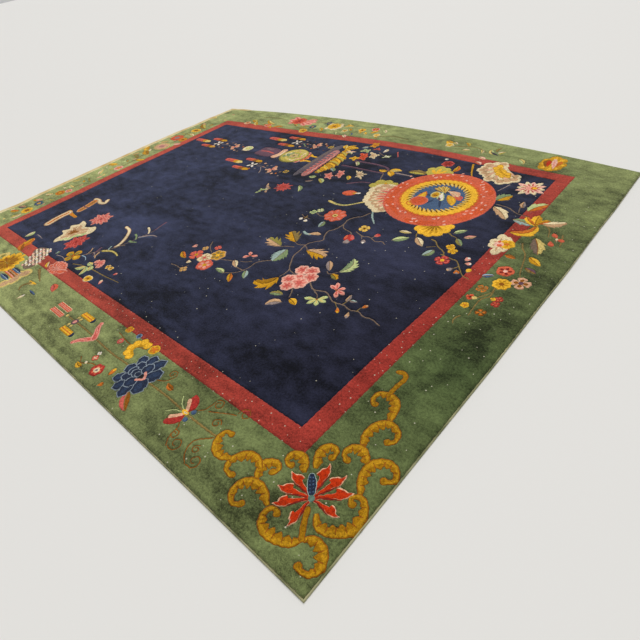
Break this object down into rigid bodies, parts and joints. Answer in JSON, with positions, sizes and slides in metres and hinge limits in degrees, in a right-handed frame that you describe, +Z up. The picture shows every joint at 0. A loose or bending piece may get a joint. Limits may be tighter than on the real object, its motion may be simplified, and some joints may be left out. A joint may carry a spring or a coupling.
{
  "type": "chinese art deco rug",
  "caption": "Room-size hand-knotted wool rug with a dark field, a red line and a wide flowered border, lying flat.",
  "frame": {"origin": "on the floor under the middle of the rug's bounding box", "axes": "+X along the rug towards the end with the selvedge, +Y across it towards the long side that bows out, +Z up out of the pile"},
  "size_m": [3.6718, 2.8272, 0.0156],
  "materials": {
    "wool_pile": "thick clipped wool pile on a cotton foundation, velvety, worn soft"
  },
  "bodies": {
    "root": {"rug": "wool_pile"}
  },
  "joints": []
}
